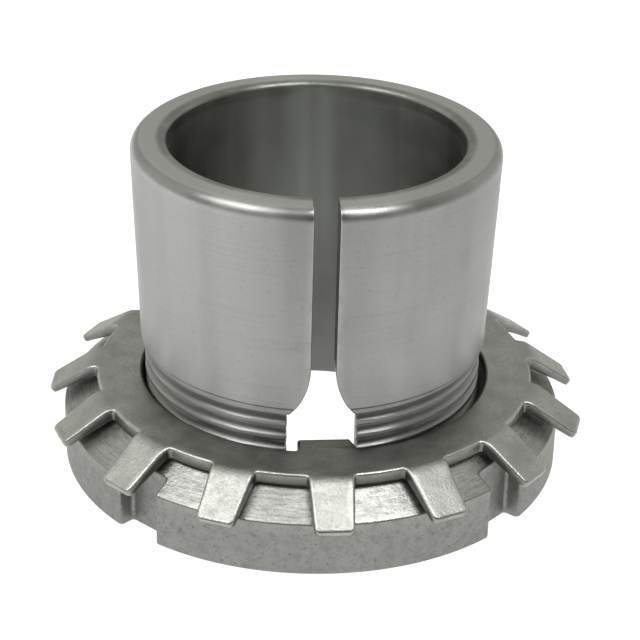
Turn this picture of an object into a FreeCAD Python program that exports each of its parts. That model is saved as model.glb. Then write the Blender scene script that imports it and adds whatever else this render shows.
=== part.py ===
import FreeCAD, Part
import math
import os
from FreeCAD import Vector

# Bearing adapter sleeve with its lock washer and lock nut, standing on the nut.
# Millimetres, +Z up. The origin is the centre of the nut's lower face, on the axis that all three pieces share.
# The slit and the keyway of the sleeve face -Y. Angles are counted from there, anticlockwise seen from above.

# Sleeve: the bore takes the shaft, the 1:12 taper takes the bearing, the thread takes the nut
sleeve_length = 35.0
bore_radius = 15.0
thread_wall = 2.5
thread_length = 13.0
thread_pitch = 1.5
thread_depth = 0.92
shoulder_length = 0.5
taper_step = 0.3
taper_ratio = 12.0
large_end_fillet = 0.9
large_end_steps = 3
mouth_chamfer_width = 0.75
mouth_chamfer_depth = 0.45
thread_lead_in = 0.8
lower_bore_chamfer = 0.5

# Opening through the sleeve's wall: a saw slit, widened into a keyway through the thread
slit_width = 2.4
keyway_width = 6.8
keyway_length = 12.6
keyway_shoulder_radius = 7.9

# Lock nut
nut_thickness = 8.0
nut_face_width = 4.5
nut_chamfer_width = 4.0
nut_chamfer_deg = 30.0
nut_edge_chamfer = 0.4
nut_bore_clearance = 0.05
nut_mouth_chamfer = 0.8
spanner_slot_count = 4
spanner_slot_width = 5.0
spanner_slot_depth = 2.0
spanner_slot_corner = 0.4
nut_turn_deg = 0.6

# Lock washer: one flat tab inside runs in the keyway, fifteen bent tabs outside hang over the nut's chamfer
washer_thickness = 1.25
washer_hole_clearance = 0.95
washer_overhang = 0.9
washer_turn_deg = 1.1
outer_tab_count = 15
outer_tab_root_width = 4.5
outer_tab_tip_width = 3.8
outer_tab_length = 5.2
outer_tab_extra_slope_deg = 3.0
outer_tab_bend_radius = 0.6
outer_tab_root_fillet = 0.5
outer_tab_tip_fillet = 0.45
inner_tab_side_clearance = 0.55
inner_tab_reach = 2.75
inner_tab_corner_width = 0.5
inner_tab_corner_length = 1.3
inner_tab_root_fillet = 0.4

# Tools that cut reach this far past the faces they cut
overcut = 1.0
# Points closer together than this are the same point
same_point = 1e-4

Z_AXIS = Vector(0, 0, 1)
ORIGIN = Vector(0, 0, 0)
thread_radius = bore_radius + thread_wall
taper_start_radius = thread_radius + taper_step
nut_face_radius = thread_radius + nut_face_width
nut_radius = nut_face_radius + nut_chamfer_width
washer_bottom = nut_thickness
washer_top = washer_bottom + washer_thickness
washer_hole_radius = thread_radius + washer_hole_clearance
washer_ring_radius = nut_face_radius + washer_overhang
outer_tab_tip_radius = washer_ring_radius + outer_tab_length
outer_tab_slope_deg = nut_chamfer_deg + outer_tab_extra_slope_deg
inner_tab_width = keyway_width - 2 * inner_tab_side_clearance


def in_section(radius, height):
    """A point of a section that is turned about the axis."""
    return Vector(radius, 0, height)


def line(start, end):
    return Part.LineSegment(start, end).toShape()


def arc(start, middle, end):
    return Part.Arc(start, middle, end).toShape()


def turned(edges):
    """The solid of revolution of a closed section."""
    return Part.Face(Part.Wire(edges)).revolve(ORIGIN, Z_AXIS, 360)


def on_circle(centre, radius, angle_deg):
    """A point of a circle in a section, its angle counted from the outward direction."""
    angle = math.radians(angle_deg)
    return centre + Vector(radius * math.cos(angle), 0, radius * math.sin(angle))


def around(shape, angle_deg):
    """A copy of a shape that was made on the -Y side, turned about the axis."""
    copy = shape.copy()
    copy.rotate(ORIGIN, Z_AXIS, angle_deg)
    return copy


def taper_radius(height):
    """Outer radius of the sleeve's taper at a height."""
    return taper_start_radius + (height - thread_length - shoulder_length) / (2 * taper_ratio)


def thread_section():
    """Section points of the thread from its lower end up, with each turn of the helix drawn as a closed ring."""
    turns = int((thread_length - thread_lead_in) / thread_pitch)
    lowest = thread_length - turns * thread_pitch
    points = [in_section(thread_radius, thread_lead_in)]
    if lowest - thread_lead_in > same_point:
        points.append(in_section(thread_radius, lowest))
    for turn in range(turns):
        root = lowest + (turn + 0.5) * thread_pitch
        points.append(in_section(thread_radius - thread_depth, root))
        points.append(in_section(thread_radius, root + thread_pitch / 2))
    return points


def large_end_section():
    """Section points of the rounding at the large end, from the taper up to the end face."""
    slope_deg = math.degrees(math.atan(1 / (2 * taper_ratio)))
    centre_height = sleeve_length - large_end_fillet
    tangent_shift = large_end_fillet / math.cos(math.radians(slope_deg))
    centre = in_section(taper_radius(centre_height) - tangent_shift, centre_height)
    step_deg = (90 + slope_deg) / large_end_steps
    return [
        on_circle(centre, large_end_fillet, step_deg * step - slope_deg)
        for step in range(large_end_steps + 1)
    ]


def sleeve_body():
    """The sleeve as it leaves the lathe: bore, thread, taper and end chamfers."""
    corners = [
        in_section(bore_radius + mouth_chamfer_width, sleeve_length),
        in_section(bore_radius, sleeve_length - mouth_chamfer_depth),
        in_section(bore_radius, lower_bore_chamfer),
        in_section(bore_radius + lower_bore_chamfer, 0),
        in_section(thread_radius - thread_lead_in, 0),
    ]
    corners += thread_section()
    corners.append(in_section(taper_start_radius, thread_length + shoulder_length))
    corners += large_end_section()
    return turned([line(a, b) for a, b in zip(corners, corners[1:] + corners[:1])])


def wall_opening():
    """The cutter for the slit and the keyway, with the rounded shoulders between them."""
    slit = slit_width / 2
    key = keyway_width / 2
    radius = keyway_shoulder_radius
    drop = math.sqrt(radius ** 2 - (radius - (key - slit)) ** 2)
    tangent_height = keyway_length + drop
    half_sweep = math.atan2(drop, radius - (key - slit)) / 2
    mid_x = slit + radius - radius * math.cos(half_sweep)
    mid_z = tangent_height - radius * math.sin(half_sweep)
    top = sleeve_length + overcut

    right = [
        line(Vector(key, 0, -overcut), Vector(key, 0, keyway_length)),
        arc(Vector(key, 0, keyway_length), Vector(mid_x, 0, mid_z), Vector(slit, 0, tangent_height)),
        line(Vector(slit, 0, tangent_height), Vector(slit, 0, top)),
    ]
    left = [edge.mirror(ORIGIN, Vector(1, 0, 0)) for edge in right]
    ends = [
        line(Vector(-slit, 0, top), Vector(slit, 0, top)),
        line(Vector(-key, 0, -overcut), Vector(key, 0, -overcut)),
    ]
    outline = Part.Wire(Part.__sortEdges__(right + left + ends))
    return Part.Face(outline).extrude(Vector(0, -taper_radius(sleeve_length) - overcut, 0))


def make_adapter_sleeve():
    return sleeve_body().cut(wall_opening())


def nut_body():
    """The nut before its spanner slots are cut."""
    bore = thread_radius + nut_bore_clearance
    drop = nut_chamfer_width * math.tan(math.radians(nut_chamfer_deg))
    corners = [
        in_section(nut_radius - nut_edge_chamfer, 0),
        in_section(nut_radius, nut_edge_chamfer),
        in_section(nut_radius, nut_thickness - drop),
        in_section(nut_face_radius, nut_thickness),
        in_section(bore + nut_mouth_chamfer, nut_thickness),
        in_section(bore, nut_thickness - nut_mouth_chamfer),
        in_section(bore, nut_mouth_chamfer),
        in_section(bore + nut_mouth_chamfer, 0),
    ]
    return turned([line(a, b) for a, b in zip(corners, corners[1:] + corners[:1])])


def spanner_slot():
    """The cutter for one spanner slot, on the -Y side, with small radii along its floor."""
    depth = spanner_slot_depth + overcut
    height = nut_thickness + 2 * overcut
    corner = Vector(-spanner_slot_width / 2, -nut_radius - overcut, -overcut)
    block = Part.makeBox(spanner_slot_width, depth, height, corner)
    floor = -nut_radius + spanner_slot_depth
    floor_edges = [
        edge for edge in block.Edges
        if all(abs(vertex.Y - floor) < same_point for vertex in edge.Vertexes)
        and abs(edge.Vertexes[0].Z - edge.Vertexes[-1].Z) > same_point
    ]
    return block.makeFillet(spanner_slot_corner, floor_edges)


def make_lock_nut():
    nut = nut_body()
    step = 360.0 / spanner_slot_count
    for index in range(spanner_slot_count):
        angle = nut_turn_deg + step * (index + 0.5)
        nut = nut.cut(around(spanner_slot(), angle))
    return nut


def bent_strip():
    """The sheet of one outer tab, on the -Y side: flat up to the ring's edge, then bent down along a straight line."""
    slope = math.radians(outer_tab_slope_deg)
    centre = in_section(washer_ring_radius, washer_bottom - outer_tab_bend_radius)
    upper_bend = outer_tab_bend_radius + washer_thickness
    start, middle, end = 90, 90 - outer_tab_slope_deg / 2, 90 - outer_tab_slope_deg
    upper = [on_circle(centre, upper_bend, angle) for angle in (start, middle, end)]
    lower = [on_circle(centre, outer_tab_bend_radius, angle) for angle in (start, middle, end)]
    run = (outer_tab_tip_radius - upper[2].x) / math.cos(slope)
    along = Vector(math.cos(slope), 0, -math.sin(slope)) * run
    inside = washer_ring_radius - 2 * outer_tab_root_fillet
    width = outer_tab_root_width + 4 * outer_tab_root_fillet

    corners = [lower[0], in_section(inside, washer_bottom), in_section(inside, washer_top), upper[0]]
    edges = [line(a, b) for a, b in zip(corners[:-1], corners[1:])]
    edges.append(arc(*upper))
    edges.append(line(upper[2], upper[2] + along))
    edges.append(line(upper[2] + along, lower[2] + along))
    edges.append(line(lower[2] + along, lower[2]))
    edges.append(arc(*reversed(lower)))
    strip = Part.Face(Part.Wire(edges)).extrude(Vector(0, width, 0))
    strip.translate(Vector(0, -width / 2, 0))
    strip.rotate(ORIGIN, Z_AXIS, -90)
    return strip


def sheet():
    """The washer's sheet before its outline is stamped: a flat ring with a bent strip for each outer tab."""
    ring = Part.makeCylinder(washer_ring_radius, washer_thickness, Vector(0, 0, washer_bottom))
    strips = [around(bent_strip(), 360.0 / outer_tab_count * index) for index in range(outer_tab_count)]
    hole = Part.makeCylinder(washer_hole_radius, washer_top)
    return ring.fuse(strips).cut(hole)


def prism(points, low, high):
    """An upright prism over a closed outline."""
    corners = [Vector(x, y, low) for x, y in points]
    return Part.Face(Part.makePolygon(corners + corners[:1])).extrude(Vector(0, 0, high - low))


def upright_edges_at(solid, points):
    """The upright edges of a prism that stand on the given plan points."""
    return [
        edge for edge in solid.Edges
        if abs(edge.Vertexes[0].Z - edge.Vertexes[-1].Z) > same_point
        and any(math.hypot(edge.Vertexes[0].X - x, edge.Vertexes[0].Y - y) < same_point for x, y in points)
    ]


def blank_plate():
    """The washer's stamped outline as an upright prism: a disc with tapered tabs, rounded at tips and roots."""
    low = -overcut
    high = washer_top + overcut
    root = outer_tab_root_width / 2
    tip = outer_tab_tip_width / 2
    inside = washer_ring_radius - 2 * outer_tab_root_fillet
    slope = (root - tip) / (outer_tab_tip_radius - washer_ring_radius)
    inside_half = root + slope * (washer_ring_radius - inside)
    tips = [(-tip, -outer_tab_tip_radius), (tip, -outer_tab_tip_radius)]
    tab = prism([(-inside_half, -inside), tips[0], tips[1], (inside_half, -inside)], low, high)
    tab = tab.makeFillet(outer_tab_tip_fillet, upright_edges_at(tab, tips))

    plate = Part.makeCylinder(washer_ring_radius, high - low, Vector(0, 0, low))
    plate = plate.fuse([around(tab, 360.0 / outer_tab_count * index) for index in range(outer_tab_count)])
    plate = plate.removeSplitter()
    roots = [
        edge for edge in plate.Edges
        if abs(edge.Vertexes[0].Z - edge.Vertexes[-1].Z) > same_point
        and abs(math.hypot(edge.Vertexes[0].X, edge.Vertexes[0].Y) - washer_ring_radius) < same_point
        and abs(edge.Vertexes[0].Z - low) + abs(edge.Vertexes[-1].Z - high) < same_point
    ]
    return plate.makeFillet(outer_tab_root_fillet, roots)


def inner_tab():
    """The flat tab that runs in the keyway, with its one clipped corner."""
    half = inner_tab_width / 2
    end = washer_hole_radius - inner_tab_reach
    outside = washer_hole_radius + overcut
    points = [
        (-half, -outside),
        (-half, -end),
        (half - inner_tab_corner_width, -end),
        (half, -end - inner_tab_corner_length),
        (half, -outside),
    ]
    return prism(points, washer_bottom, washer_top)


def make_lock_washer():
    washer = sheet().common(blank_plate()).fuse(inner_tab()).removeSplitter()
    roots = [
        edge for edge in washer.Edges
        if len(edge.Vertexes) == 2
        and abs(edge.Vertexes[0].Z - edge.Vertexes[1].Z) > same_point
        and all(abs(math.hypot(v.X, v.Y) - washer_hole_radius) < same_point and v.Y < 0 for v in edge.Vertexes)
        and abs(abs(edge.Vertexes[0].X) - inner_tab_width / 2) < same_point
    ]
    washer = washer.makeFillet(inner_tab_root_fillet, roots)
    return around(washer, washer_turn_deg)


sub_parts = {
    "adapter_sleeve": make_adapter_sleeve(),
    "lock_washer": make_lock_washer(),
    "lock_nut": make_lock_nut(),
}
os.makedirs("parts", exist_ok=True)
for node, shape in sub_parts.items():
    solid, = shape.Solids
    solid.exportStep("parts/" + node + ".step")
    print(node, "valid" if solid.isValid() else "NOT VALID", round(solid.Volume, 1), "mm3")
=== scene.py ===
import math

import bpy
import numpy as np
from mathutils import Matrix, Vector


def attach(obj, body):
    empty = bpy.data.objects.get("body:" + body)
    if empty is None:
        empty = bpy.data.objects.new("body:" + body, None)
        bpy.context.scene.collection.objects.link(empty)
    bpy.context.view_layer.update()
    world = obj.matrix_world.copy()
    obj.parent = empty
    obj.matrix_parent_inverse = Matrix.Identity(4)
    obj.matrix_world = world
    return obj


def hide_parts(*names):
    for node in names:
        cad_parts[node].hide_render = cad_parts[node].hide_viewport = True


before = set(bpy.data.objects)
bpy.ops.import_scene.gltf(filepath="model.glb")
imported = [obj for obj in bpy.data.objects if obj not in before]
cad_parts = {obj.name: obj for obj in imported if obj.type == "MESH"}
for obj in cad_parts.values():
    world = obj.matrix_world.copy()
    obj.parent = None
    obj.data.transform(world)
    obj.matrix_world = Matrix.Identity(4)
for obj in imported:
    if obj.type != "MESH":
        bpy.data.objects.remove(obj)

# Bearing adapter sleeve with its lock washer and lock nut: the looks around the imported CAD.
# Sizes of the pieces are millimetres, and become metres where a mesh is made. Materials, lamps and
# floor work in metres. Angles are counted from -Y, anticlockwise seen from above, as in the CAD's
# frame. Sizes are the CAD's, but for those that the photo shows a little differently on this piece.
MM = 0.001
TURN = 2 * math.pi
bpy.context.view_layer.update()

# Sleeve sizes
BORE, LOW_CHAMFER, MOUTH_ROUND = 15.0, 0.5, 0.5
THREAD, LEAD_IN = 17.5, 16.7               # radii of the thread's crests and of the lower end
TAPER_FOOT, TAPER_START_Z, TAPER_RISE = 17.88, 13.48, 0.0382
NECK = ((12.3, THREAD), (12.75, 17.6), (12.95, 17.72), (13.48, 17.76), (13.55, 17.68), (13.6, 17.68))
PLAIN_TAPER_Z = 13.66                      # where the neck has ended
SLEEVE_TOP, END_FILLET = 35.0, 1.25
SLIT, KEY = 1.2, 3.4                       # half widths
KEY_LENGTH, SHOULDER_RADIUS = 12.6, 7.9
EDGE_ROUND, INNER_EDGE_ROUND, END_EDGE_ROUND = 0.17, 0.15, 0.14
# Edge roundings are brightened by this much: partly real wearing, partly a painted highlight.
EDGE_SUPPORT, EDGE_WEAR_AND_HIGHLIGHT = 0.15, 0.5
SURFACE_COLUMNS, ROUND_STEPS = 176, 5

# Thread sizes
PITCH, THREAD_DEPTH, CREST_Z = 1.5, 0.74, 11.72
CREST_HALF, ROOT_HALF = 0.16, 0.06
RUN_OUT_Z, RUN_OUT = 13.2, 0.7             # the thread fades out over this height, up to this z
THREAD_GAP = 0.07                          # between the sleeve's thread and the nut's
THREAD_ROW = 0.1                           # from one row of the mesh to the next

# Nut sizes
NUT_TOP, NUT_RADIUS, NUT_FACE = 8.0, 26.0, 22.0
NUT_CHAMFER, NUT_TURN = math.radians(30), math.radians(0.6)
NUT_MOUTH = THREAD + 0.85                  # radius of the thread's mouths
NUT_EDGE, NUT_LOW_EDGE, NUT_FACE_SUPPORT = 0.14, 0.4, 0.2
NUT_SLOTS, NUT_SLOT_HALF, NUT_SLOT_FLOOR = 4, 2.5, 24.0
NOTCH_EDGE, NOTCH_FLOOR_ROUND = 0.3, 0.4
NOTCH_SPREAD = math.radians(10.5)          # half the angle that a slot's columns take up further in
ARC_COLUMNS = 46                           # between two slots

# Washer sizes
WASHER_LOW, WASHER_THICK = 8.0, 1.25
WASHER_SHIFT, WASHER_TURN = 0.235, math.radians(1.1)     # it hangs a little to the right
RING_EDGE, HOLE = 22.8, 18.08
TABS, TAB_ROOT, TAB_TIP, TAB_END = 15, 2.25, 1.9, 28.1   # half widths, then the tip's distance out
TAB_SLOPE, BEND = math.radians(33), 0.6
TAB_EXTRA_DEG = {-5: -1.5, 3: -1.0, 4: 2.5}              # tabs that slope or reach differently
TAB_SHORTER = {-5: 0.5, -4: 0.2, 3: -0.2, 5: -0.4}
TIP_FILLET, ROOT_FILLET, ROOT_FILLET_D = 0.55, 0.42, 23.2
TOP_ROUND, LOW_ROUND, TIP_THINNING = 0.33, 0.16, 0.33
# How much each row of the top rounding is brightened: partly real wearing, partly a painted highlight on
# the rim.
TOP_ROUND_WEAR_AND_HIGHLIGHT = [0.2, 0.8, 1, 1, 0.8, 0.3]
INNER_TAB_HALF, INNER_TAB_END, INNER_TAB_FILLET, INNER_TAB_CORNER = 2.85, 15.7, 0.4, 0.3
CLIP_HALF, CLIP_START = 2.35, 17.0         # the inner tab's right side is cut off at a slant
CLIP_MITRES = 0.187, 0.687                 # how far the slant's corners move as its edge moves by 1
ACROSS, GAP_STEPS, INNER_ACROSS, RING_STEPS = 8, 8, 12, 6


def smooth(x):
    x = np.clip(x, 0, 1)
    return x * x * (3 - 2 * x)


def at(radius, b, z):
    radius, b, z = np.broadcast_arrays(radius, b, z)
    return np.stack([radius * np.sin(b), -radius * np.cos(b), z], -1)


def plan(u, d, z, b=0.0):
    """A point u to the side and d out from the axis, turned by b."""
    u, d, z = np.broadcast_arrays(u, d, z)
    c, s = math.cos(b), math.sin(b)
    return np.stack([u * c + d * s, u * s - d * c, z], -1)


def arc_of(centre, radius, start_deg, end_deg, steps):
    a = np.radians(np.linspace(start_deg, end_deg, steps + 1))
    return np.stack([centre[0] + radius * np.cos(a), centre[1] + radius * np.sin(a)], -1)


def thread_drop(z, b):
    """Depth of the helical thread below its crests, at height z and angle b."""
    turns = (z - CREST_Z) / PITCH - b / TURN
    off_crest = np.abs(turns - np.round(turns)) * PITCH
    return THREAD_DEPTH * smooth((off_crest - CREST_HALF) / (PITCH / 2 - CREST_HALF - ROOT_HALF))


class Skin:
    """Points and quads of one piece, in millimetres, with how far each point is polished by use, an
    amount that also paints a highlight along rounded edges.
    """

    def __init__(self):
        self.points, self.faces, self.wear, self.count = [], [], [], 0

    def add(self, points, wear=0.0):
        points = np.asarray(points, float)
        self.wear.append(np.broadcast_to(wear, points.shape[:-1]).ravel())
        index = np.arange(self.count, self.count + points.size // 3).reshape(points.shape[:-1])
        self.points.append(points.reshape(-1, 3))
        self.count += index.size
        return index

    def quads(self, index, flip=False, closed=False):
        if closed:
            index = np.concatenate([index, index[:, :1]], 1)
        cells = np.stack([index[:-1, :-1], index[:-1, 1:], index[1:, 1:], index[1:, :-1]], -1)
        cells = cells.reshape(-1, 4)
        self.faces.append(cells[:, ::-1] if flip else cells)

    def tongue(self, left, tip, right, flip):
        """Fills a tab's flat face between its sides and its tip, and gives the row at its root."""
        flat = np.concatenate(self.points)
        share = np.linspace(0, 1, len(tip) + 2)[1:-1]
        a, c = flat[left[:-1]], flat[right[:-1]]
        middle = self.add(a[:, None] + (c - a)[:, None] * share[None, :, None])
        rows = np.concatenate([left[:, None], np.concatenate([middle, tip[None]]), right[:, None]], 1)
        self.quads(rows, flip=flip)
        return rows[0]

    def build(self, name, sharp_deg):
        mesh = bpy.data.meshes.new(name)
        points = np.concatenate(self.points) * MM
        mesh.from_pydata(points.tolist(), [], np.concatenate(self.faces).tolist())
        mesh.validate()
        mesh.shade_smooth()
        mesh.set_sharp_from_angle(angle=math.radians(sharp_deg))
        wear = mesh.attributes.new("wear", "FLOAT", "POINT")
        wear.data.foreach_set("value", np.concatenate(self.wear))
        piece = bpy.data.objects.new(name, mesh)
        bpy.context.scene.collection.objects.link(piece)
        return piece


# Sleeve
def taper(z):
    return TAPER_FOOT + (z - TAPER_START_Z) * TAPER_RISE


def sleeve_outer(z, b):
    """Outer radius of the sleeve: lead-in, thread with its run-out, neck, taper and end fillet."""
    heights, radii = zip(*NECK, (PLAIN_TAPER_Z, taper(PLAIN_TAPER_Z)))
    body = np.where(z > PLAIN_TAPER_Z, taper(z), np.interp(z, heights, radii))
    radius = body - thread_drop(z, b) * smooth((RUN_OUT_Z - z) / RUN_OUT)
    radius = np.minimum(radius, LEAD_IN + np.maximum(z, 0))
    centre_z = SLEEVE_TOP - END_FILLET
    slope = math.atan(TAPER_RISE)
    centre_r = taper(centre_z) - END_FILLET / math.cos(slope)
    rise = np.clip(z - centre_z, -END_FILLET, END_FILLET)
    end = centre_r + np.sqrt(np.maximum(END_FILLET ** 2 - rise ** 2, 0))
    return np.where(z > centre_z - END_FILLET * math.sin(slope), end, radius)


def sleeve_inner(z):
    """Bore radius with its rounded mouth above and its chamfer below."""
    lift = np.clip((z - SLEEVE_TOP) / MOUTH_ROUND + 1, 0, 1)
    mouth = BORE + MOUTH_ROUND * (1 - np.sqrt(1 - lift ** 2))
    return np.maximum(mouth, BORE + LOW_CHAMFER - z)


def opening(z):
    """Half width of the keyway and the slit, with the arcs between them and soft edges at the ends."""
    arc_x = SLIT + SHOULDER_RADIUS
    arc_z = KEY_LENGTH + math.sqrt(SHOULDER_RADIUS ** 2 - (SHOULDER_RADIUS - (KEY - SLIT)) ** 2)
    arc = arc_x - np.sqrt(np.maximum(SHOULDER_RADIUS ** 2 - np.minimum(z - arc_z, 0) ** 2, 0))
    half = np.where(z < KEY_LENGTH, KEY, arc)
    above = np.clip(z - (SLEEVE_TOP - END_EDGE_ROUND), 0, None)
    below = np.clip(END_EDGE_ROUND - z, 0, None)
    for end in (above, below):
        half = half + END_EDGE_ROUND - np.sqrt(np.maximum(END_EDGE_ROUND ** 2 - end ** 2, 0))
    return half


def edge_arc(half, radius, rounding, side, outer):
    """The rounding of an edge of the opening, from the opening's wall to the sleeve's outer or inner
    surface, as x, y and the angle at which the surface starts."""
    reach = radius - rounding if outer else radius + rounding
    x = half + rounding
    y = -np.sqrt(reach ** 2 - x ** 2)
    b = np.arcsin(x / reach)
    step = np.linspace(0, 1, ROUND_STEPS + 1)[None, :]
    if outer:
        angle = -math.pi + (math.pi / 2 + b[:, None]) * step
    else:
        angle = math.pi - (math.pi / 2 - b[:, None]) * step
    px = x[:, None] + rounding * np.cos(angle)
    py = y[:, None] + rounding * np.sin(angle)
    support = EDGE_SUPPORT if outer else -EDGE_SUPPORT
    px = np.concatenate([px[:, :1], px], 1)
    py = np.concatenate([py[:, :1] + support, py], 1)
    return side * px, py, side * b


def sleeve_rows():
    """Heights of the sleeve's rows, close together at the thread, the neck and the end fillet."""
    fillet = np.radians(np.linspace(-2.4, 90, 19))
    return np.concatenate([
        [0, 0.05], np.arange(0.1, 12.7, THREAD_ROW),
        np.arange(12.7, 13.75, 0.045), np.arange(13.8, 18.3, 0.22),
        [19, 21, 23, 25, 27, 29, 31, 32.5, 33.3],
        SLEEVE_TOP - END_FILLET + END_FILLET * np.sin(fillet),
    ])


def sleeve_mesh():
    z = sleeve_rows()
    half = opening(z)
    inner = sleeve_inner(z)
    zz = z[:, None]
    share = np.linspace(0, 1, SURFACE_COLUMNS + 1)[1:-1][None, :]

    def side_arcs(side):
        b_edge = side * np.arcsin((half + EDGE_ROUND) / THREAD)
        out = edge_arc(half, sleeve_outer(z, b_edge), EDGE_ROUND, side, True)
        return out, edge_arc(half, inner, INNER_EDGE_ROUND, side, False)

    def around(right, left, radius_at):
        """Rows from the opening's right wall round the sleeve to its left wall."""
        (rx, ry, rb), (lx, ly, lb) = right, left
        b = rb[:, None] + share * (TURN + lb - rb)[:, None]
        radius = radius_at(b)
        x = np.concatenate([rx, radius * np.sin(b), lx[:, ::-1]], 1)
        y = np.concatenate([ry, -radius * np.cos(b), ly[:, ::-1]], 1)
        return np.stack([x, y, zz + 0 * x], -1)

    (right, right_in), (left, left_in) = side_arcs(1), side_arcs(-1)
    outer_points = around(right, left, lambda b: sleeve_outer(zz, b))
    inner_points = around(right_in, left_in, lambda b: inner[:, None])

    skin = Skin()
    wear = np.zeros(outer_points.shape[1])
    wear[1:ROUND_STEPS + 2] = wear[-ROUND_STEPS - 2:-1] = EDGE_WEAR_AND_HIGHLIGHT
    out = skin.add(outer_points, wear[None, :])
    inn = skin.add(inner_points, wear[None, :])
    skin.quads(np.concatenate([out, inn[:, ::-1]], 1), closed=True)
    for row, flip in ((-1, False), (0, True)):           # the two end faces
        rim, mouth = outer_points[row], inner_points[row]
        near_rim, near_mouth = [rim + (mouth - rim) * part for part in (0.06, 0.94)]
        rows = np.stack([out[row], skin.add(near_rim), skin.add(near_mouth), inn[row]])
        skin.quads(rows, flip=flip)
    return skin.build("sleeve_body", 40)


# Nut
def notch(radius):
    """Left half of one spanner slot's outline for an outer radius, as (u, d), from the rim down to
    the middle of the floor."""
    reach = radius - NOTCH_EDGE
    cu = -(NUT_SLOT_HALF + NOTCH_EDGE)
    cd = math.sqrt(reach ** 2 - cu ** 2)
    lean = math.degrees(math.asin(-cu / reach))
    rim = arc_of((cu, cd), NOTCH_EDGE, 90 + lean, 0, 5)
    foot = NUT_SLOT_FLOOR + NOTCH_FLOOR_ROUND
    wall = np.stack([np.full(4, -NUT_SLOT_HALF), np.linspace(cd, foot, 6)[1:-1]], -1)
    corner = arc_of((-NUT_SLOT_HALF + NOTCH_FLOOR_ROUND, foot), NOTCH_FLOOR_ROUND, 180, 270, 5)
    floor = np.stack([np.linspace(corner[-1, 0], 0, 5)[1:], np.full(4, NUT_SLOT_FLOOR)], -1)
    return np.concatenate([rim, wall, corner, floor])


def nut_outline(radius):
    """The nut's plan outline as closed points (x, y), and the angle each has on the face circle."""
    left = notch(radius)
    both = np.concatenate([left, left[-2::-1] * [-1, 1]])
    spread = np.linspace(-1, 1, len(both)) * NOTCH_SPREAD
    edge = math.atan2(-left[0, 0], left[0, 1])
    step = TURN / NUT_SLOTS
    points, facing = [], []
    for k in range(NUT_SLOTS):
        centre = NUT_TURN + step / 2 + k * step
        b = centre + np.linspace(edge, step - edge, ARC_COLUMNS + 1)[1:-1]
        points += [plan(both[:, 0], both[:, 1], 0.0, centre), at(radius, b, 0.0)]
        between = np.linspace(NOTCH_SPREAD, step - NOTCH_SPREAD, ARC_COLUMNS + 1)[1:-1]
        facing += [centre + spread, centre + between]
    return np.concatenate(points)[:, :2], np.concatenate(facing)


def cone_height(xy):
    """Height of the nut's chamfer, or of its face."""
    radius = np.hypot(xy[..., 0], xy[..., 1])
    return NUT_TOP - np.maximum(radius - NUT_FACE, 0) * math.tan(NUT_CHAMFER)


def inward(loop):
    """Unit normals of a closed anticlockwise plan loop, pointing into it."""
    along = np.roll(loop, -1, 0) - np.roll(loop, 1, 0)
    along /= np.linalg.norm(along, axis=1)[:, None]
    return np.stack([-along[:, 1], along[:, 0]], -1)


def nut_mesh():
    rows, wear = [], []

    def row(xy, z, worn_and_highlit=0.0):
        rows.append(np.concatenate([xy, np.broadcast_to(z, len(xy))[:, None]], 1))
        wear.append(worn_and_highlit)

    low_edge = NUT_LOW_EDGE
    for a in np.radians(np.linspace(0, 90, 6)):
        outline, _ = nut_outline(NUT_RADIUS - low_edge + low_edge * math.sin(a))
        row(outline, low_edge - low_edge * math.cos(a))
    rim, facing = nut_outline(NUT_RADIUS)
    inside = rim + inward(rim) * NUT_EDGE
    top, high = cone_height(rim), cone_height(inside)
    for share in (0.35, 0.75):
        row(rim, low_edge + (top - NUT_EDGE - low_edge) * share)
    for t in np.linspace(0, 1, 5):                       # the rounded rim of the chamfer
        first, middle, last = (1 - t) ** 2, 2 * t * (1 - t), t * t
        row(first * rim + middle * rim + last * inside,
            first * (top - NUT_EDGE) + middle * top + last * high, EDGE_WEAR_AND_HIGHLIGHT)
    face = at(NUT_FACE, facing, 0.0)[:, :2]
    for t in (0.15, 0.35, 0.6, 0.85, 1.0):
        xy = inside + (face - inside) * t
        row(xy, cone_height(xy))
    for radius in (NUT_FACE - NUT_FACE_SUPPORT, NUT_MOUTH):
        row(at(radius, facing, 0.0)[:, :2], NUT_TOP)
    for z in np.arange(NUT_TOP, -0.001, -THREAD_ROW):
        flare = NUT_MOUTH - min(NUT_TOP - z, z)
        radius = np.maximum(THREAD + THREAD_GAP - thread_drop(z, facing), flare)
        row(at(radius, facing, 0.0)[:, :2], z)

    skin = Skin()
    index = skin.add(np.stack(rows), np.array(wear)[:, None])
    skin.quads(index, closed=True)
    skin.quads(np.stack([index[-1], index[0]]), closed=True)
    return skin.build("nut_body", 33)


# Washer
def tab_half(d):
    return TAB_ROOT + (TAB_TIP - TAB_ROOT) * (d - RING_EDGE) / (TAB_END - RING_EDGE)


def tab_side(delta):
    """Right edge of an outer tab from its root fillet to its tip corner, as (u, d), moved delta into
    the metal, and the angle at which the root fillet meets the ring."""
    cu = tab_half(ROOT_FILLET_D) + ROOT_FILLET
    reach = RING_EDGE + ROOT_FILLET
    cd = math.sqrt(reach ** 2 - cu ** 2)
    lean = math.asin(cu / reach)
    root = arc_of((cu, cd), ROOT_FILLET + delta, 270 - math.degrees(lean), 180, 6)
    tip_d = TAB_END - TIP_FILLET
    tip = arc_of((tab_half(tip_d) - TIP_FILLET, tip_d), TIP_FILLET - delta, 0, 90, 6)
    d = np.linspace(cd, tip_d, 11)[1:-1]
    side = np.stack([tab_half(d) - delta, d], -1)
    return np.concatenate([root, side, tip]), lean


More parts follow.
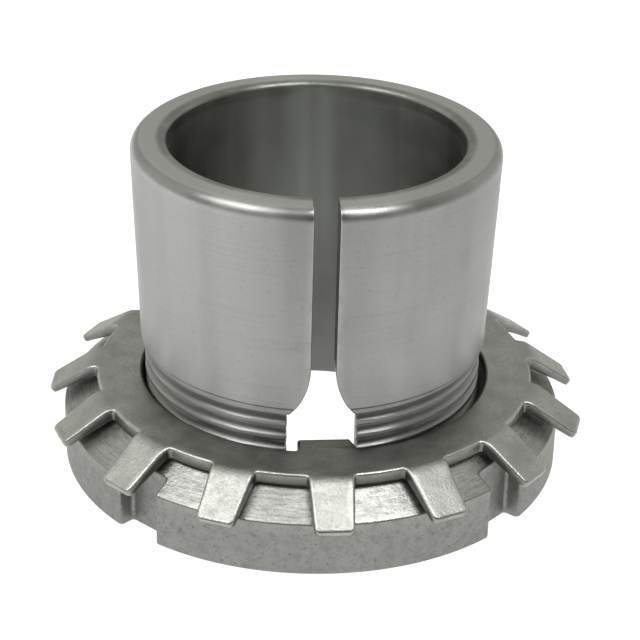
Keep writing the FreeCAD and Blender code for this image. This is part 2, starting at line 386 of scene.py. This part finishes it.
def bent(u, d, tau, tab):
    """The sheet's point that lies tau under its top face, over the plan point (u, d) of a tab."""
    tab = tab - TABS if tab > TABS // 2 else tab
    length = TAB_END - RING_EDGE
    tau = tau * (1 - TIP_THINNING * smooth((d - RING_EDGE) / length))
    upper = BEND + WASHER_THICK
    centre_z = WASHER_LOW - BEND
    out = np.maximum(d - RING_EDGE, 0) * (1 - TAB_SHORTER.get(tab, 0.0) / length)
    bend_out = upper * math.sin(TAB_SLOPE)
    run = np.where(out < bend_out, upper * np.arcsin(np.minimum(out / upper, 1)),
                   upper * TAB_SLOPE + (out - bend_out) / math.cos(TAB_SLOPE))
    slope = TAB_SLOPE + math.radians(TAB_EXTRA_DEG.get(tab, 0.0))
    angle = np.minimum(run / upper, slope)
    straight = np.maximum(run - upper * slope, 0)
    along = RING_EDGE + (upper - tau) * np.sin(angle) + straight * math.cos(slope)
    z = centre_z + (upper - tau) * np.cos(angle) - straight * math.sin(slope)
    return plan(u, np.where(d > RING_EDGE, along, d), z, tab * TURN / TABS)


def outer_loop(delta, tau):
    """Closed loop of the washer's outside: for each tab its left side, tip, right side and the gap
    after it."""
    side, lean = tab_side(delta)
    left = side * [-1, 1]
    across = np.linspace(-1, 1, ACROSS + 1)[1:-1]
    tip = np.stack([across * side[-1, 0], np.full(ACROSS - 1, side[-1, 1])], -1)
    gap_b = np.linspace(lean, TURN / TABS - lean, GAP_STEPS + 1)[1:-1]
    parts = []
    for k in range(TABS):
        for chain in (left, tip, side[::-1]):
            parts.append(bent(chain[:, 0], chain[:, 1], tau, k))
        parts.append(at(RING_EDGE - delta, k * TURN / TABS + gap_b, WASHER_LOW + WASHER_THICK - tau))
    return np.concatenate(parts)


def inner_loop(delta, tau):
    """Closed loop of the washer's hole, with the inner tab's left side, end and right side first, and
    the number of points on one side."""
    cu, reach = INNER_TAB_HALF + INNER_TAB_FILLET, HOLE - INNER_TAB_FILLET
    cd = math.sqrt(reach ** 2 - cu ** 2)
    lean = math.degrees(math.asin(cu / reach))
    root = arc_of((cu, cd), INNER_TAB_FILLET + delta, 90 - lean, 180, 4)
    side_u, corner = INNER_TAB_HALF - delta, INNER_TAB_CORNER
    centre = (-(INNER_TAB_HALF - corner), INNER_TAB_END + corner)
    corner_arc = arc_of(centre, corner - delta + 1e-3, 180, 270, 3)      # its radius is never quite 0
    left = np.concatenate([root * [-1, 1], [[-side_u, 17.4], [-side_u, 16.7]], corner_arc])
    clip_top = (side_u, CLIP_START + CLIP_MITRES[0] * delta)
    clip_end = (CLIP_HALF - CLIP_MITRES[1] * delta, INNER_TAB_END + delta)
    right = np.concatenate([root, [[side_u, 17.5]], np.linspace(clip_top, clip_end, 5)])
    tip = left[-1] + (right[-1] - left[-1]) * np.linspace(0, 1, INNER_ACROSS + 1)[1:-1, None]
    tab = np.concatenate([left, tip, right[::-1]])
    z = WASHER_LOW + WASHER_THICK - tau
    steps = TABS * (ACROSS + GAP_STEPS) - INNER_ACROSS
    b = np.linspace(math.radians(lean), TURN - math.radians(lean), steps + 1)[1:-1]
    return np.concatenate([plan(tab[:, 0], tab[:, 1], z), at(HOLE + delta, b, z)]), len(left)


def washer_layers():
    """The sheet's cut edge from top to underside, as (distance into the metal, depth below the top)."""
    quarter = np.radians(np.linspace(0, 90, 6))
    top = [(TOP_ROUND * (1 - math.sin(a)), TOP_ROUND * (1 - math.cos(a))) for a in quarter]
    low = [(LOW_ROUND * (1 - math.cos(a)), WASHER_THICK - LOW_ROUND * (1 - math.sin(a)))
           for a in quarter[::2]]
    return [*top, (0, WASHER_THICK * 0.6), *low, (LOW_ROUND, WASHER_THICK)]


def washer_mesh():
    skin = Skin()
    layers = washer_layers()
    wear = np.array(TOP_ROUND_WEAR_AND_HIGHLIGHT + [0] * (len(layers) - len(TOP_ROUND_WEAR_AND_HIGHLIGHT)))[:, None]
    outer = skin.add(np.stack([outer_loop(*layer) for layer in layers]), wear)
    inner_points, inner_rows = zip(*(inner_loop(*layer) for layer in layers))
    inner = skin.add(np.stack(inner_points), wear)
    skin.quads(outer, flip=True, closed=True)
    skin.quads(inner, closed=True)

    per_tab, side_end = outer.shape[1] // TABS, inner_rows[0]
    side_rows = (per_tab - (ACROSS - 1) - (GAP_STEPS - 1)) // 2
    for layer, flip in ((0, False), (-1, True)):         # the sheet's two faces
        rim = []
        for chain in outer[layer].reshape(TABS, per_tab):
            left, tip, right, gap = np.split(chain, np.cumsum([side_rows, ACROSS - 1, side_rows]))
            rim += [skin.tongue(left, tip, right[::-1], not flip), gap]
        rim = np.concatenate(rim)
        left, tip, right, arc = np.split(inner[layer], np.cumsum([side_end, INNER_ACROSS - 1, side_end]))
        mouth = np.concatenate([skin.tongue(left, tip, right[::-1], flip), arc])
        mouth = np.roll(mouth, -(INNER_ACROSS - ACROSS) // 2)
        flat = np.concatenate(skin.points)
        a, c = flat[mouth], flat[rim]
        between = [skin.add(a + (c - a) * share) for share in np.linspace(0, 1, RING_STEPS + 1)[1:-1]]
        skin.quads(np.stack([mouth, *between, rim]), flip=not flip, closed=True)
    piece = skin.build("washer_sheet", 40)
    shift = Matrix.Translation((WASHER_SHIFT * MM, 0, 0))
    piece.data.transform(shift @ Matrix.Rotation(WASHER_TURN, 4, "Z"))
    return piece


# Materials
class Nodes:
    """Short way to write the nodes of a material or the world."""

    def __init__(self, block):
        block.use_nodes = True
        self.tree = block.node_tree
        self.nodes = self.tree.nodes

    def plug(self, node, socket, value):
        if isinstance(value, bpy.types.NodeSocket):
            self.tree.links.new(value, node.inputs[socket])
        elif value is not None:
            node.inputs[socket].default_value = value

    def math(self, operation, a, b=None):
        node = self.nodes.new("ShaderNodeMath")
        node.operation = operation
        self.plug(node, 0, a)
        self.plug(node, 1, b)
        return node.outputs[0]

    def radius(self, x, y):
        squares = self.math("ADD", self.math("MULTIPLY", x, x), self.math("MULTIPLY", y, y))
        return self.math("SQRT", squares)

    def ramp(self, value, low, high, to_low=0.0, to_high=1.0):
        """Value eased from to_low at low to to_high at high."""
        node = self.nodes.new("ShaderNodeMapRange")
        node.interpolation_type = "SMOOTHSTEP"
        for socket, item in enumerate((value, low, high, to_low, to_high)):
            self.plug(node, socket, item)
        return node.outputs[0]

    def xyz(self, x, y, z):
        node = self.nodes.new("ShaderNodeCombineXYZ")
        for socket, item in enumerate((x, y, z)):
            self.plug(node, socket, item)
        return node.outputs[0]

    def split(self, vector):
        node = self.nodes.new("ShaderNodeSeparateXYZ")
        self.plug(node, 0, vector)
        return node.outputs

    def noise(self, vector, scale, detail=2.0, rough=0.5, w=None):
        node = self.nodes.new("ShaderNodeTexNoise")
        node.noise_dimensions = "3D" if w is None else "4D"
        self.plug(node, "Vector", vector)
        self.plug(node, "W", w)
        self.plug(node, "Scale", scale)
        self.plug(node, "Detail", detail)
        self.plug(node, "Roughness", rough)
        return node.outputs["Fac"]

    def mix(self, share, a, b):
        node = self.nodes.new("ShaderNodeMix")
        node.data_type = "RGBA"
        self.plug(node, 0, share)
        self.plug(node, 6, a)
        self.plug(node, 7, b)
        return node.outputs[2]

    def bump(self, height, distance, normal=None):
        node = self.nodes.new("ShaderNodeBump")
        self.plug(node, "Strength", 1.0)
        self.plug(node, "Distance", distance)
        self.plug(node, "Height", height)
        self.plug(node, "Normal", normal)
        return node.outputs[0]


class Steel(Nodes):
    """A steel surface: its shader, and patterns in the piece's own metres."""

    def __init__(self, name, tint):
        self.tint = tint
        self.material = bpy.data.materials.new(name)
        super().__init__(self.material)
        self.shader = self.nodes["Principled BSDF"]
        self.shader.inputs["Metallic"].default_value = 1.0
        self.shader.inputs["Specular Tint"].default_value = (0.8, 0.8, 0.8, 1)
        coords = self.nodes.new("ShaderNodeTexCoord")
        self.place, self.facing = coords.outputs["Object"], coords.outputs["Normal"]

    def lathe_lines(self, pitch_mm, run_mm):
        """Noise drawn out round the axis, as turning and grinding leave it."""
        x, y, z = self.split(self.place)
        radius = self.radius(x, y)
        fine, run = 1000 / pitch_mm, 1000 / run_mm
        vector = self.xyz(self.math("MULTIPLY", radius, fine), self.math("MULTIPLY", z, fine),
                          self.math("MULTIPLY", x, run))
        return self.noise(vector, 1.0, 3.0, 0.6, w=self.math("MULTIPLY", y, run))

    def brushed(self, amount):
        """Gloss drawn out across lines that run round the axis."""
        tangent = self.nodes.new("ShaderNodeTangent")
        tangent.direction_type, tangent.axis = "RADIAL", "Z"
        self.plug(self.shader, "Tangent", tangent.outputs[0])
        self.shader.inputs["Anisotropic"].default_value = amount
        self.shader.inputs["Anisotropic Rotation"].default_value = 0.25

    def spots(self, scale, low, high):
        return self.ramp(self.noise(self.place, scale, 1.0), low, high)

    def tone(self, factor):
        return (*(c * factor for c in self.tint), 1)

    def blotch(self, pattern, low, high):
        """Colour between two tones of the steel, by a noise pattern."""
        return self.mix(self.ramp(pattern, 0.35, 0.65), self.tone(low), self.tone(high))

    def stain(self, share, colour, factor):
        """Takes a share of the colour to another tone of the steel."""
        return self.mix(share, colour, self.tone(factor))

    def finish(self, colour, roughness, normal):
        """Joins the patterns to the shader, with edges polished brighter and smoother in places by use,
        and made brighter still by a painted highlight along the rounded edges.
        """
        worn_and_highlit = self.nodes.new("ShaderNodeAttribute")
        worn_and_highlit.attribute_name = "wear"
        patchy = self.ramp(self.noise(self.place, 800.0, 3.0), 0.3, 0.6, 0.4, 1.0)
        rubbed_and_highlit = self.math("MULTIPLY", worn_and_highlit.outputs["Fac"], patchy)
        # Brighter colour on polished edges: partly real wearing, partly a painted highlight.
        colour = self.stain(self.math("MULTIPLY", rubbed_and_highlit, 0.8), colour, 1.25)
        roughness = self.math("SUBTRACT", roughness, self.math("MULTIPLY", rubbed_and_highlit, 0.1))
        self.plug(self.shader, "Base Color", colour)
        self.plug(self.shader, "Roughness", roughness)
        self.plug(self.shader, "Normal", normal)
        return self.material


def ground_steel():
    """The sleeve: ground taper and thread, brighter turned end face with painted light from above on
    upward faces, and a duller bore painted darker with streaky reflections and with shade deeper down.
    """
    n = Steel("ground steel", (0.364, 0.364, 0.351))
    bore_lit_streak, bore_shaded_streak = (0.345, 0.356, 0.33, 1), (0.25, 0.258, 0.236, 1)
    n.brushed(0.8)
    x, y, z = n.split(n.place)
    bore = n.ramp(n.radius(x, y), 0.0163, 0.0157)
    top = n.ramp(n.split(n.facing)[2], 0.9, 0.99)
    # Noise drawn out up and down: painted reflection bands of the surroundings.
    scales = (x, 230.0), (y, 230.0), (z, 14.0)
    drawn_out = n.xyz(*(n.math("MULTIPLY", axis, scale) for axis, scale in scales))
    reflection_streaks = n.noise(drawn_out, 1.0)
    lines = n.lathe_lines(0.16, 12)
    bands = n.lathe_lines(1.2, 40)
    cloud = n.noise(n.place, 260.0, 4.0)
    grain = n.noise(n.place, 3000.0, 2.0)
    colour = n.blotch(cloud, 0.97, 1.04)
    # Painted reflection: darker vertical bands on the outside.
    colour = n.stain(n.ramp(reflection_streaks, 0.4, 0.7, 0.0, 0.5), colour, 0.8)
    colour = n.stain(n.math("MULTIPLY", n.ramp(lines, 0.45, 0.75), 0.45), colour, 0.8)
    # Upward faces brighter: the turned end face's own finish, plus painted light from above on it and on
    # the top of the end fillet.
    colour = n.stain(top, colour, 1.43)
    # The bore's colour: painted light and dark reflection bands.
    colour = n.mix(bore, colour, n.mix(n.ramp(reflection_streaks, 0.36, 0.62), bore_lit_streak, bore_shaded_streak))
    # Painted shade: the bore darker towards its bottom.
    colour = n.stain(n.math("MULTIPLY", bore, n.ramp(z, 0.022, 0.01, 0.0, 0.75)), colour, 0.38)
    specks = n.math("MULTIPLY", n.spots(3600.0, 0.66, 0.74), n.ramp(bore, 1.0, 0.0, 0.0, 0.35))
    colour = n.stain(specks, colour, 0.5)
    rough = n.math("ADD", n.ramp(cloud, 0.3, 0.7, 0.30, 0.37), n.math("MULTIPLY", grain, 0.06))
    rough = n.math("ADD", rough, n.math("MULTIPLY", bore, 0.06))
    rough = n.math("SUBTRACT", rough, n.math("MULTIPLY", n.ramp(z, 0.0334, 0.0338), 0.06))
    normal = n.bump(n.math("MULTIPLY", lines, n.ramp(z, 0.0132, 0.014, 0.3, 1.0)), 0.000011)
    normal = n.bump(bands, 0.000014, normal)
    return n.finish(colour, rough, n.bump(grain, 0.000003, normal))


def stamped_steel():
    """The washer: mottled and pitted sheet, with its upright cut edges painted darker as shade."""
    n = Steel("stamped steel", (0.41, 0.412, 0.384))
    cloud = n.noise(n.place, 320.0, 4.0)
    mottle = n.noise(n.place, 1300.0, 4.0, 0.7)
    grain = n.noise(n.place, 4200.0, 3.0, 0.6)
    pits = n.spots(3000.0, 0.64, 0.72)
    colour = n.blotch(cloud, 0.9, 1.12)
    colour = n.stain(n.ramp(mottle, 0.45, 0.7, 0.0, 0.45), colour, 0.74)
    colour = n.stain(n.ramp(grain, 0.45, 0.7, 0.0, 0.4), colour, 0.7)
    colour = n.stain(n.math("MULTIPLY", pits, 0.35), colour, 0.5)
    # Painted shade: faces that stand upright, the cut edges, are darker.
    edge = n.ramp(n.math("ABSOLUTE", n.split(n.facing)[2]), 0.55, 0.15, 0.0, 0.85)
    colour = n.stain(edge, colour, 0.38)
    rough = n.math("ADD", n.ramp(cloud, 0.3, 0.7, 0.34, 0.41), n.ramp(mottle, 0.3, 0.7, 0.0, 0.07))
    normal = n.bump(cloud, 0.00004)
    normal = n.bump(mottle, 0.00002, normal)
    return n.finish(colour, rough, n.bump(grain, 0.000022, normal))


def nut_steel():
    """The nut: mottled and pitted all over, with turned lines on the chamfer, painted bright as a
    highlight.
    """
    n = Steel("nut steel", (0.28, 0.282, 0.265))
    up = n.split(n.facing)[2]
    chamfer = n.math("MULTIPLY", n.ramp(up, 0.6, 0.8), n.ramp(up, 0.99, 0.9))
    lines = n.lathe_lines(0.16, 1.6)
    cloud = n.noise(n.place, 300.0, 4.0)
    mottle = n.noise(n.place, 1200.0, 4.0, 0.7)
    grain = n.noise(n.place, 3800.0, 3.0, 0.6)
    pits = n.spots(2800.0, 0.64, 0.72)
    colour = n.blotch(cloud, 0.94, 1.08)
    colour = n.stain(n.ramp(mottle, 0.45, 0.7, 0.0, 0.5), colour, 0.66)
    colour = n.stain(n.ramp(grain, 0.45, 0.7, 0.0, 0.45), colour, 0.7)
    colour = n.stain(n.math("MULTIPLY", pits, 0.6), colour, 0.5)
    # The chamfer's turned lines, painted brighter: a painted highlight where the chamfer faces the
    # lamps.
    turned = n.math("MULTIPLY", n.ramp(lines, 0.68, 0.4), n.math("MULTIPLY", chamfer, 0.55))
    colour = n.stain(turned, colour, 1.85)
    rough = n.math("ADD", n.ramp(cloud, 0.3, 0.7, 0.42, 0.48), n.ramp(mottle, 0.3, 0.7, 0.0, 0.08))
    rough = n.math("SUBTRACT", rough, n.math("MULTIPLY", chamfer, 0.12))
    normal = n.bump(cloud, 0.00004)
    normal = n.bump(mottle, 0.00002, normal)
    normal = n.bump(grain, 0.00002, normal)
    return n.finish(colour, rough, n.bump(n.math("MULTIPLY", lines, chamfer), 0.000005, normal))


# Pieces
for piece, body, node, material in (
        (sleeve_mesh(), "sleeve", "adapter_sleeve", ground_steel()),
        (washer_mesh(), "washer", "lock_washer", stamped_steel()),
        (nut_mesh(), "nut", "lock_nut", nut_steel())):
    piece.data.materials.append(material)
    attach(piece, body)
    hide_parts(node)

# Floor and light
FLOOR_HALF = 3.0
LAMP_HEIGHT = 0.6


def pale_floor():
    """A plain floor that glows nearly white, and a little less in front and to the right, where it
    would light the nut and the washer's underside too much. It glows a little more to the left, and
    inside the sleeve's bore, where the glow is painted light that fills the shade under the sleeve."""
    n = Nodes(bpy.data.materials.new("pale floor"))
    shader = n.nodes["Principled BSDF"]
    shader.inputs["Base Color"].default_value = (0.3, 0.3, 0.3, 1)
    shader.inputs["Roughness"].default_value = 1.0
    shader.inputs["Specular IOR Level"].default_value = 0.0
    shader.inputs["Emission Color"].default_value = (1, 1, 1, 1)
    x, y, _ = n.split(n.nodes.new("ShaderNodeTexCoord").outputs["Object"])
    near = n.math("MULTIPLY", n.ramp(y, -0.04, -0.11), n.ramp(n.math("ABSOLUTE", x), 0.16, 0.02))
    left = n.ramp(x, -0.045, -0.12, 0.0, 0.2)
    right = n.ramp(x, 0.03, 0.1, 0.0, 0.3)
    # Painted light: more glow inside the sleeve's bore, where the sleeve shades the floor.
    inside = n.ramp(n.radius(x, y), 0.0165, 0.013, 0.97, 1.05)
    darker = n.math("ADD", right, n.math("MULTIPLY", near, 0.6))
    n.plug(shader, "Emission Strength", n.math("SUBTRACT", n.math("ADD", inside, left), darker))
    return bpy.data.materials["pale floor"]


def studio():
    """The room: brightest behind the object, bright at both sides, darkest in front."""
    world = bpy.data.worlds.new("studio")
    n = Nodes(world)
    x, y, _ = n.split(n.nodes.new("ShaderNodeTexCoord").outputs["Generated"])
    behind, left = n.ramp(y, -0.35, 0.55), n.ramp(x, 0.7, -0.9)
    sides = n.ramp(n.math("ABSOLUTE", x), 0.15, 0.75)
    level = n.math("ADD", n.math("MULTIPLY", behind, 0.4), n.math("MULTIPLY", left, 0.14))
    level = n.math("ADD", level, n.math("MULTIPLY", sides, 0.14))
    level = n.math("ADD", level, n.ramp(x, 0.3, 0.9, 0.0, 0.07))
    n.plug(n.nodes["Background"], "Color", (1.0, 1.0, 0.96, 1))
    n.plug(n.nodes["Background"], "Strength", n.math("ADD", level, 0.09))
    return world


def softbox(name, x, y, size, radiance):
    """A rectangular lamp overhead that faces the object."""
    light = bpy.data.lights.new(name, "AREA")
    light.shape = "RECTANGLE"
    light.size, light.size_y = size
    light.energy = radiance * math.pi * size[0] * size[1]
    lamp = bpy.data.objects.new(name, light)
    bpy.context.scene.collection.objects.link(lamp)
    lamp.location = (x, y, LAMP_HEIGHT)
    lamp.rotation_euler = (-Vector(lamp.location)).to_track_quat("-Z", "Y").to_euler()


corners = [(x * FLOOR_HALF, y * FLOOR_HALF, 0) for x, y in ((-1, -1), (1, -1), (1, 1), (-1, 1))]
mesh = bpy.data.meshes.new("floor")
mesh.from_pydata(corners, [], [(0, 1, 2, 3)])
mesh.materials.append(pale_floor())
floor = bpy.data.objects.new("floor", mesh)
bpy.context.scene.collection.objects.link(floor)
bpy.context.scene.world = studio()
softbox("overhead right", 0.175, -0.12, (0.22, 0.34), 5.9)
softbox("overhead left", -0.325, -0.1, (0.39, 0.34), 3.9)
softbox("overhead middle", -0.07, -0.2, (0.12, 0.14), 2.2)

# Camera, as fitted to the photograph
FRAME_PX, SENSOR_MM, FOCAL_PX = 640, 36, 2066.27
DISTANCE, AIM = 223.146, Vector((1.195, 6.653, 10.962))
AZIMUTH, ELEVATION, ROLL = math.radians(-3.857), math.radians(26.995), math.radians(1.348)
level = math.cos(ELEVATION)
back = Vector((math.sin(AZIMUTH) * level, -math.cos(AZIMUTH) * level, math.sin(ELEVATION)))
right = Vector((math.cos(AZIMUTH), math.sin(AZIMUTH), 0))
up = back.cross(right)
axis_x = right * math.cos(ROLL) + up * math.sin(ROLL)
axis_y = up * math.cos(ROLL) - right * math.sin(ROLL)
camera_data = bpy.data.cameras.new("camera")
camera_data.sensor_width = SENSOR_MM
camera_data.lens = FOCAL_PX * SENSOR_MM / FRAME_PX
camera_data.clip_start, camera_data.clip_end = 0.01, 20
camera = bpy.data.objects.new("camera", camera_data)
bpy.context.scene.collection.objects.link(camera)
turn = Matrix((axis_x, axis_y, back)).transposed().to_4x4()
camera.matrix_world = Matrix.Translation((AIM + back * DISTANCE) * MM) @ turn
bpy.context.scene.camera = camera
bpy.context.scene.view_settings.view_transform = "Standard"
